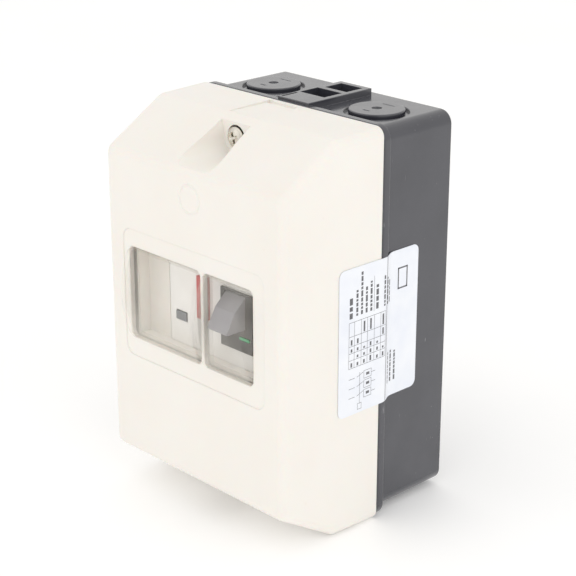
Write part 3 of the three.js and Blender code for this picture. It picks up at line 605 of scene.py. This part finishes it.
def end_cutters(side):
    """Everything cut at one end: channel to the seam, notch, washer pocket, screw hole and scoop."""
    low, high = sorted((side * 72.75, side * 76))
    channel = block(-CHANNEL_HALF_X, CHANNEL_HALF_X, SLOPE_Y + 0.5, -40, low, high)
    low, high = sorted((side * 72.3, side * 76))
    notch = block(-CHANNEL_HALF_X, -5.2, -40.6, -39.2, low, high)
    pocket = rod_y(0, side * SCREW_Z, 4.4, SCOOP_BACK_Y - 1, SCREW_POCKET_Y, 48)
    hole = rod_y(0, side * SCREW_Z, 2.3, SCREW_POCKET_Y - 0.5, SEAM_Y + 1)
    return [channel, notch, pocket, hole, screw_scoop(side)]


def scoop_blocks(form):
    """The thick stretches of wall round both scoops, trimmed to the cover's outer form."""
    blocks = []
    for side in (1, -1):
        low, high = sorted((side * 57, side * 75))
        blocks.append(block(-13, 13, FRONT_Y - 1, SCOOP_BLOCK_BACK_Y, low, high))
    return combine(combine(blocks[0], "UNION", blocks[1]), "INTERSECT", form)


def make_cover():
    cover = cover_outer()
    form = bpy.data.objects.new("tool", cover.data.copy())
    bpy.context.scene.collection.objects.link(form)
    inner_x = HALF_X - COVER_WALL - COVER_TAPER
    combine(cover, "DIFFERENCE", prism_x(cover_outline(COVER_WALL), -inner_x, inner_x))
    combine(cover, "UNION", scoop_blocks(form))
    for side in (1, -1):
        combine(cover, "UNION", rod_y(0, side * SCREW_Z, 4.2, -59.5, SEAM_Y - 0.2))
    for x, z in FRAME_SCREWS:
        combine(cover, "UNION", rod_y(x, z, 2.4, FRONT_Y + COVER_WALL - 0.3, -79.7))
        combine(cover, "DIFFERENCE", rod_y(x, z, 1.2, -82.8, -79))
    past_seam = block(-60, 60, SEAM_Y, SEAM_Y + 20, -90, 90)
    cutters = [past_seam, *end_cutters(1), *end_cutters(-1)]
    cutters += [panel_cutter(), lamp_ring_cutter()]
    cutters += [window_cutter(x0, x1) for x0, x1 in WINDOWS]
    combine(cover, "DIFFERENCE", *cutters)
    finished(cover, "cover", LOOKS["cover_cream"], ["cover_shell"], angle=24)


# ---- Base ---------------------------------------------------------------------------------------


def knockout_disc(x, side):
    """The raised disc with a rounded rim, a dimple in the middle and two small moulded marks."""
    centre = (x, KNOCKOUT_Y, 0)
    top = BASE_HALF_Z + KNOCKOUT_RISE
    rim, edge = KNOCKOUT_R + 0.2, 0.5
    profile = [(rim, BASE_HALF_Z - 1.5), (rim, top - edge)]
    for angle in (0.4, 0.8, 1.2, 1.57):
        profile.append((rim - edge + edge * math.cos(angle), top - edge + edge * math.sin(angle)))
    disc = turned(centre, Z * side, profile, 72)
    dimple = [(1.3, top - 0.8), (1.65, top - 0.6), (1.85, top - 0.1), (2.0, top + 1)]
    low, high = sorted((side * (top - 0.12), side * (top + 1)))
    marks = [block(x - 2.6, x + 3.0, KNOCKOUT_Y + 5.6, KNOCKOUT_Y + 6.1, low, high),
             block(x - 1.6, x + 1.2, KNOCKOUT_Y - 5.6, KNOCKOUT_Y - 4.7, low, high)]
    return combine(disc, "DIFFERENCE", turned(centre, Z * side, dimple, 24), *marks)


def end_moat(x, side):
    """The ring groove round a disc, its outer edge eased."""
    centre = (x, KNOCKOUT_Y, 0)
    floor, above = BASE_HALF_Z - 1, BASE_HALF_Z + 3
    outer = KNOCKOUT_GROOVE_R
    wall = [(outer, floor), (outer, BASE_HALF_Z - 0.2), (outer + 0.25, BASE_HALF_Z), (outer + 0.3, above)]
    moat = turned(centre, Z * side, wall, 72)
    core = turned(centre, Z * side, [(KNOCKOUT_R, floor - 1), (KNOCKOUT_R, above + 1)], 72)
    return combine(moat, "DIFFERENCE", core)


def end_platform():
    """The raised platform between the top knock-outs, its edges eased."""
    sides = (PLATFORM_LEFT_X, PLATFORM_RIGHT_X, PLATFORM_FRONT_Y, PLATFORM_BACK_Y)
    return bevelled(block(*sides, BASE_HALF_Z - 1.5, BASE_HIGH.z), 0.3)


def top_pockets():
    """Two deep pockets and a slot in the platform, and a small hole on either side of it."""
    floor, above = BASE_HALF_Z - 1.2, BASE_HALF_Z + 5
    hole_floor, hole_y = BASE_HALF_Z - 0.9, -30.4
    return [block(-4.2, 6.6, -14.7, -6.3, floor, above),
            block(-5.6, 6.6, -26, -17, floor, above),
            block(-6, -5, -35, -27.6, BASE_HALF_Z + 1, above),
            rod_z(-12.8, hole_y, 0.9, hole_floor, above),
            rod_z(13.2, hole_y, 0.9, hole_floor, above)]


def layer(half_x, half_z, radius, inset, y):
    """One ring of the base: a rounded rectangle in X and Z, moved in by inset."""
    u, v = half_x - inset, half_z - inset
    return [(a, y, b) for a, b in rounded_rectangle(-u, u, -v, v, radius - inset, 12)]


def base_body():
    """The body with its back edge rounded, and the lip round the seam with both edges rounded."""
    back = ((0.6, 0), (0.18, -0.18), (0, -0.6), (0, RIM_Y))
    body = solid([layer(BASE_HALF_X, BASE_HALF_Z, BASE_CORNER_R, inset, y) for inset, y in back])
    lip = ((0.5, LIP_BACK_Y), (0.12, LIP_BACK_Y - 0.12), (0, LIP_BACK_Y - 0.5), (0, RIM_Y + 0.9),
           (0.09, RIM_Y + 0.5), (0.32, RIM_Y + 0.2), (0.75, RIM_Y))
    return combine(body, "UNION", solid([layer(HALF_X, HALF_Z, LIP_CORNER_R, inset, y) for inset, y in lip]))


def gasket_groove():
    """The groove in the rim that the cover gasket lies in."""
    outer, inner = GASKET_GROOVE_INSETS
    radius = 4.3
    rings = []
    for inset, corner, y0, y1 in ((outer, radius, 1.5, -1), (inner, radius - inner + outer, 2, -2)):
        u, v = HALF_X - inset, HALF_Z - inset
        rings.append(prism_y(rounded_rectangle(-u, u, -v, v, corner), RIM_Y + y0, RIM_Y + y1))
    return combine(rings[0], "DIFFERENCE", rings[1])


def make_base():
    base = base_body()
    combine(base, "UNION", end_platform())
    for side in (1, -1):
        for x in (-KNOCKOUT_X, KNOCKOUT_X):
            combine(base, "DIFFERENCE", end_moat(x, side))
            combine(base, "UNION", knockout_disc(x, side))
    u, v = BASE_HALF_X - BASE_WALL, BASE_HALF_Z - BASE_WALL
    hollow = prism_y(rounded_rectangle(-u, u, -v, v, BASE_CORNER_R - BASE_WALL), -BACK_WALL, RIM_Y - 2)
    combine(base, "DIFFERENCE", hollow, *top_pockets())
    combine(base, "UNION", block(-34, -20, -1, -6.7, -62, -50))  # carries the earth terminal
    for side in (1, -1):
        z, rail_x = side * SCREW_Z, side * RAIL_SCREW_X
        combine(base, "UNION", rod_y(0, z, 4.6, -1, RIM_Y + 0.5), rod_y(rail_x, 0, 4.2, -1, -4.7))
        combine(base, "DIFFERENCE", rod_y(0, z, 2.2, -16, RIM_Y - 1), rod_y(rail_x, 0, 1.5, -1.6, -6))
        for x in (-FIXING_X, FIXING_X):
            behind = rod_y(x, side * FIXING_Z, FIXING_R, FIXING_DEPTH, -FIXING_DEPTH)
            inside = rod_y(x, side * FIXING_Z, FIXING_R, FIXING_DEPTH - BACK_WALL, -BACK_WALL - 1)
            combine(base, "DIFFERENCE", behind, inside)
    combine(base, "DIFFERENCE", gasket_groove())
    finished(base, "base", LOOKS["base_black"], ["base_shell"], angle=28)


# ---- Windows ------------------------------------------------------------------------------------


def pane_solid(x0, x1, inset, back_y):
    """One pane: a side outline with a parabolic crown, run across and trimmed to round corners."""
    low, high = WINDOW_LOW_Z + inset, WINDOW_HIGH_Z - inset
    foot = PANE_FOOT_Y + inset - PANE_GAP
    rise = foot - (PANE_PEAK_Y + inset - PANE_GAP)
    steps = 32
    outline = [(back_y, low)]
    for i in range(steps + 1):
        t = 2 * i / steps - 1
        outline.append((foot - rise * (1 - t * t), (low + high) / 2 + t * (high - low) / 2))
    outline.append((back_y, high))
    face = rounded_rectangle(x0 + inset, x1 - inset, low, high, WINDOW_R - inset)
    pane = prism_x(outline, x0 + inset, x1 - inset)
    return combine(pane, "INTERSECT", prism_y(face, back_y + 1, PANE_PEAK_Y - 1))


def make_membrane():
    flange_front = FRONT_Y + COVER_WALL + 0.3
    flange_back = flange_front + 1.1
    low, high = WINDOW_LOW_Z - MEMBRANE_MARGIN, WINDOW_HIGH_Z + MEMBRANE_MARGIN
    membrane = block(-MEMBRANE_HALF_X, MEMBRANE_HALF_X, flange_front, flange_back, low, high)
    for x0, x1 in WINDOWS:
        combine(membrane, "UNION", pane_solid(x0, x1, PANE_GAP, flange_back - 0.5))
    for x0, x1 in WINDOWS:
        combine(membrane, "DIFFERENCE", pane_solid(x0, x1, PANE_GAP + MEMBRANE_WALL, flange_back + 1))
    finished(membrane, "membrane", LOOKS["clear_membrane"], ["clear_membrane"])


# ---- Label --------------------------------------------------------------------------------------


def label_path():
    """The label's inner line in Y and X: flat on the cover, over the lip, eased down to the base."""
    front, back = LABEL_LOW.y, LABEL_HIGH.y
    cover_x = HALF_X - COVER_TAPER * (SEAM_Y - front) / (SEAM_Y - FRONT_Y) + LABEL_GAP
    lip_x, base_x = HALF_X + LABEL_GAP, BASE_HALF_X + LABEL_GAP
    corners = [(front, cover_x), (SEAM_Y, lip_x), (LIP_BACK_Y - 0.6, lip_x)]
    corners += [(LIP_BACK_Y + 3.4, base_x), (back, base_x)]
    points = [Vector(c) for c in corners]
    path = [points[0]]
    for before, corner, after, reach in zip(points, points[1:], points[2:], (1, 2.0, 2.0)):
        start = corner + (before - corner).normalized() * reach
        end = corner + (after - corner).normalized() * reach
        for k in range(9):
            t = k / 8
            path.append(start * (1 - t) ** 2 + corner * (2 * t * (1 - t)) + end * t * t)
    path.append(points[-1])
    return path


def make_label():
    path = label_path()
    outer = [(p.x, p.y + LABEL_THICK) for p in path]
    section = [(y, x) for y, x in path] + outer[::-1]
    rings = [[(x, y, z) for y, x in section] for z in (LABEL_LOW.z, LABEL_HIGH.z)]
    outline = rounded_rectangle(LABEL_LOW.y, LABEL_HIGH.y, LABEL_LOW.z, LABEL_HIGH.z, 2.5, 10)
    trim = prism_x(outline, BASE_HALF_X - 4, HALF_X + 3.5)
    label = combine(solid(rings), "INTERSECT", trim)
    finished(label, "label", LOOKS["label_film"], ["side_label"])


def label_x(y):
    """X of the label's outer face at a given Y."""
    path = label_path()
    for a, b in zip(path, path[1:]):
        if a.x <= y <= b.x and b.x > a.x:
            return a.y + (b.y - a.y) * (y - a.x) / (b.x - a.x) + LABEL_THICK
    return path[-1].y + LABEL_THICK


class Print:
    """Flat ink marks on the label: bars and lines only, in Y and Z on the label's face."""

    def __init__(self):
        self.bm = bmesh.new()

    def bar(self, y0, y1, z0, z1):
        steps = max(1, round((y1 - y0) / 0.8))
        rows = []
        for k in range(steps + 1):
            y = y0 + (y1 - y0) * k / steps
            x = label_x(y) + INK_LIFT
            rows.append([self.bm.verts.new((x, y, z)) for z in (z0, z1)])
        for near, far in zip(rows, rows[1:]):
            self.bm.faces.new((near[0], far[0], far[1], near[1]))

    def line(self, start, end, width):
        """A thin straight line between two points that lie on one flat stretch."""
        a, b = Vector(start), Vector(end)
        across = (b - a).orthogonal().normalized() * width / 2
        corners = [a + across, a - across, b - across, b + across]
        self.bm.faces.new([self.bm.verts.new((label_x(p.x) + INK_LIFT, p.x, p.y)) for p in corners])

    def words(self, y, size, z0, z1, rng):
        """A row of dashes that stands in for a line of text running up the label."""
        z = z0
        while z < z1 - 0.6:
            length = min(rng.uniform(0.8, 2.6) * size, z1 - z)
            self.bar(y, y + size, z, z + length)
            z += length + 0.45 * size

    def frame(self, y0, y1, z0, z1, width):
        self.bar(y0, y1, z0, z0 + width)
        self.bar(y0, y1, z1 - width, z1)
        self.bar(y0, y0 + width, z0, z1)
        self.bar(y1 - width, y1, z0, z1)

    def finish(self):
        mesh = bpy.data.meshes.new("label_print")
        bmesh.ops.recalc_face_normals(self.bm, faces=self.bm.faces)
        self.bm.to_mesh(mesh)
        self.bm.free()
        piece = bpy.data.objects.new("label_print", mesh)
        bpy.context.scene.collection.objects.link(piece)
        finished(piece, "label_print", label_ink(), [])


def make_label_print():
    rng = random.Random(7)
    ink = Print()
    front, hair = LABEL_LOW.y, 0.14
    ink.words(front + 5.0, 1.5, 9.0, 16.5, rng)
    for k, (low, high) in enumerate(((9.5, 19), (9.5, 25), (9.5, 19), (9.5, 20.5))):
        ink.words(front + 8.2 + 2.3 * k, 0.95, low, high, rng)
    ink.bar(front + 16.9, front + 16.9 + hair, 9, 22)
    ink.words(front + 18.0, 1.2, 9.5, 19.5, rng)
    for k in range(3):
        ink.words(front + 22.0 + 2.0 * k, 0.85, 9.5, 21 - 1.5 * k, rng)
    table_low, table_high = -9.5, 7.5
    columns = [front + 4.8 + d for d in (0, 2.6, 6.0, 9.0, 12.4, 15.6, 18.2)]
    rows = [table_low + d for d in (0, 3.0, 5.6, 8.2, 11.8, 17.0)]
    for y in columns:
        ink.bar(y, y + hair, table_low, table_high)
    for z in rows:
        ink.bar(columns[0], columns[-1], z, z + hair)
    for y0, y1 in zip(columns, columns[1:]):
        for z0, z1 in zip(rows, rows[1:]):
            if rng.random() < 0.75:
                middle = (y0 + y1) / 2
                ink.bar(middle - 0.35, middle + 0.45, z0 + 0.5, z1 - rng.uniform(0.5, 1.4))
    for k in range(3):
        z = -13.5 - 3.6 * k
        ink.line((front + 5.0, z), (front + 8.0, z), 0.16)
        ink.line((front + 9.0, z), (front + 12.2, z + 1.1), 0.16)
        ink.frame(front + 12.4, front + 16.2, z - 1.5, z + 1.5, hair)
        ink.bar(front + 13.6, front + 15.2, z - 0.5, z + 0.5)
        ink.line((front + 16.2, z), (front + 18.2, z), 0.16)
    ink.line((front + 10.4, -24.0), (front + 10.4, -12.0), 0.14)
    ink.frame(front + 9.4, front + 11.4, -26.0, -23.6, hair)
    for k in range(3):
        ink.words(front + 25.7 + 2.2 * k, 0.8, -21.5, -9.5, rng)
    ink.frame(front + 31.5, front + 36.5, 12.5, 20.5, 0.55)
    ink.finish()


# ---- Screws -------------------------------------------------------------------------------------


def make_cover_screw(name, node, side):
    """Nickel-plated pan head with a tapered cross recess."""
    head = SCREW_POCKET_Y - 1.4
    dome = [(0.05, 1.80), (0.9, 1.79), (1.8, 1.73), (2.6, 1.58), (3.2, 1.32), (3.6, 0.95), (3.78, 0.55),
            (3.8, 0.25), (3.7, 0.0)]
    shank = [(1.9, 0.0), (1.9, -38.9), (1.2, -40.4), (0.05, -40.4)]
    profile = dome + shank
    screw = turned((0, head, side * SCREW_Z), -Y, profile, 64)
    tilt = math.radians(20)
    recess = ((0.2, 0.8, 0.40), (1.0, 1.6, 0.50), (2.2, 2.4, 0.62))
    for turn in (tilt, tilt + math.pi / 2):
        rings = []
        for height, half_long, half_wide in recess:
            ring = []
            for across, along in ((-1, -1), (1, -1), (1, 1), (-1, 1)):
                u, v = across * half_long, along * half_wide
                x = u * math.cos(turn) - v * math.sin(turn)
                z = u * math.sin(turn) + v * math.cos(turn)
                ring.append((x, head - height, side * SCREW_Z + z))
            rings.append(ring)
        combine(screw, "DIFFERENCE", solid(rings))
    finished(screw, name, LOOKS["screw_steel"], [node], angle=40)


# ---- CAD nodes that stay ------------------------------------------------------------------------

SOFT_EDGES_MM = {
    "start_button": 0.45, "stop_button": 0.3, "test_button": 0.2, "button_bezel": 0.2, "ready_flag": 0.15,
    "breaker_front_case": 0.25, "membrane_frame": 0.25, "breaker_rear_case": 0.2, "rail_latch": 0.2,
    "contact_carrier": 0.2, "trip_bar": 0.15, "mounting_rail": 0.12, "earth_block": 0.2, "setting_dial": 0.12,
}

# START is a black button drawn slate: the paler colour is painted light, standing in for the light that falls
# on it behind the membrane
LOOK_INSTEAD = {"start_button": "button_slate_painted_light"}


def dress_cad_nodes():
    """Gives every CAD node that stays its material, and rounds the edges of the moulded ones."""
    for entry in frame["record"]["subparts"]:
        node = NODES[entry["node"]]
        look = LOOKS[LOOK_INSTEAD.get(entry["node"], entry["material_slot"])]
        node.data.materials.clear()
        node.data.materials.append(look)
        width = SOFT_EDGES_MM.get(entry["node"])
        if width:
            merge = node.modifiers.new("merge flats", "DECIMATE")
            merge.decimate_type = "DISSOLVE"
            merge.angle_limit = math.radians(1)
            edge = node.modifiers.new("round", "BEVEL")
            edge.width = width * MM
            edge.segments = 2
            edge.limit_method = "ANGLE"
            edge.angle_limit = math.radians(35)
        smooth(node, 35)


# ---- Stage --------------------------------------------------------------------------------------


def aim(thing, position, target):
    thing.location = position
    thing.rotation_mode = "QUATERNION"
    thing.rotation_quaternion = (Vector(target) - Vector(position)).to_track_quat("-Z", "Y")


def soft_light(name, position, target, size, power, colour=(1, 1, 1)):
    light = bpy.data.lights.new(name, "AREA")
    light.shape = "RECTANGLE"
    light.size, light.size_y = size
    light.energy = power
    light.color = colour
    lamp = bpy.data.objects.new(name, light)
    bpy.context.scene.collection.objects.link(lamp)
    aim(lamp, position, target)


def make_stage():
    scene = bpy.context.scene
    scene.view_settings.view_transform = "Standard"
    floor_z = CAD_BOX[0].z - 0.00005
    bm = bmesh.new()
    bmesh.ops.create_grid(bm, x_segments=2, y_segments=2, size=4)
    mesh = bpy.data.meshes.new("floor")
    bm.to_mesh(mesh)
    bm.free()
    floor = bpy.data.objects.new("floor", mesh)
    floor.location = (0, 0, floor_z)
    mesh.materials.append(studio_floor())
    scene.collection.objects.link(floor)
    world = bpy.data.worlds.new("studio")
    world.use_nodes = True
    world.node_tree.nodes["Background"].inputs["Color"].default_value = (1, 0.99, 0.975, 1)
    world.node_tree.nodes["Background"].inputs["Strength"].default_value = 0.92
    scene.world = world
    soft_light("right_softbox", (1.0, -0.25, 0.55), (0, -0.04, 0), (0.9, 0.9), 1.3)
    soft_light("top_softbox", (0.0, -0.2, 1.1), (0, -0.04, 0), (1.0, 1.0), 0.7)
    soft_light("front_softbox", (-0.35, -1.1, 0.45), (0, -0.04, 0), (1.0, 1.0), 0.7, (1, 0.98, 0.95))


def make_camera():
    """Seen from the front right and a little above, far enough away for a long lens."""
    azimuth, elevation = math.radians(46.09), math.radians(20.65)
    level = Vector((math.sin(azimuth), -math.cos(azimuth), 0))
    back = level * math.cos(elevation) + Z * math.sin(elevation)
    right = Vector((math.cos(azimuth), math.sin(azimuth), 0))
    up = back.cross(right)
    camera = bpy.data.cameras.new("camera")
    camera.lens, camera.sensor_width = 102.34, 36
    camera.clip_start, camera.clip_end = 0.01, 20
    eye = bpy.data.objects.new("camera", camera)
    bpy.context.scene.collection.objects.link(eye)
    place = Vector((404.73, -426.98, 215.49)) * MM
    turn = Matrix((right, up, back)).transposed()
    eye.matrix_world = Matrix.Translation(place) @ turn.to_4x4()
    bpy.context.scene.camera = eye


make_camera()
make_stage()
dress_cad_nodes()
make_cover()
make_base()
make_membrane()
make_label()
make_label_print()
make_cover_screw("cover_screw_upper", "cover_screw_top", 1)
make_cover_screw("cover_screw_lower", "cover_screw_bottom", -1)
